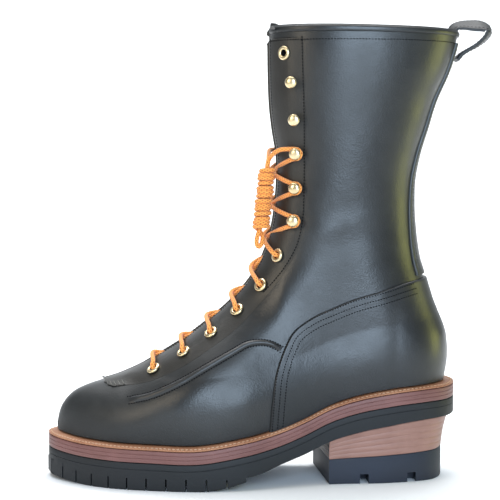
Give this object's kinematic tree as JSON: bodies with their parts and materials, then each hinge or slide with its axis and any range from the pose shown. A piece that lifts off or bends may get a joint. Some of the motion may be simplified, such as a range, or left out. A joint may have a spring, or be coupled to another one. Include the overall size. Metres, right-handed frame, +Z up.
{
  "type": "steel toe boot",
  "caption": "Left lace-to-toe logger boot in black leather, with brown midsole, stacked leather heel, black lug sole, brass eyelets and hooks and an orange lace.",
  "frame": {"origin": "centre of the boot's box on the floor under the sole", "axes": "-X to the toe, -Y to the outer side of the foot, +Z up the shaft"},
  "size_m": [0.3304, 0.1173, 0.3377],
  "materials": {
    "black_leather": "smooth oiled leather, soft sheen",
    "black_rubber": "moulded, satin",
    "tan_welt": "plain tan leather edge",
    "brown_midsole": "stained leather edge",
    "brown_stack": "stacked leather layers, stained",
    "inner_leather": "plain leather board",
    "brass": "polished",
    "orange_lace": "round woven lace"
  },
  "bodies": {
    "root": {"outsole": "black_rubber", "heel_lift": "black_rubber", "midsole": "brown_midsole", "welt": "tan_welt", "insole": "inner_leather", "heel_stack": "brown_stack", "upper": "black_leather", "tongue": "black_leather", "counter": "black_leather", "backstay": "black_leather", "eyestay": "black_leather", "vamp_seam_lateral": "black_leather", "vamp_seam_medial": "black_leather", "pull_loop": "black_leather", "eyelet_l1": "brass", "eyelet_l2": "brass", "eyelet_l3": "brass", "eyelet_l4": "brass", "eyelet_l5": "brass", "eyelet_l6": "brass", "eyelet_l7": "brass", "hook_l1": "brass", "hook_l2": "brass", "hook_l3": "brass", "hook_l4": "brass", "hook_l5": "brass", "eyelet_m1": "brass", "eyelet_m2": "brass", "eyelet_m3": "brass", "eyelet_m4": "brass", "eyelet_m5": "brass", "eyelet_m6": "brass", "eyelet_m7": "brass", "hook_m1": "brass", "hook_m2": "brass", "hook_m3": "brass", "hook_m4": "brass", "hook_m5": "brass", "lace_1": "orange_lace", "lace_2": "orange_lace", "lace_3": "orange_lace", "lace_4": "orange_lace", "lace_5": "orange_lace", "lace_6": "orange_lace", "lace_7": "orange_lace", "lace_8": "orange_lace", "lace_hank": "orange_lace"}
  },
  "joints": []
}
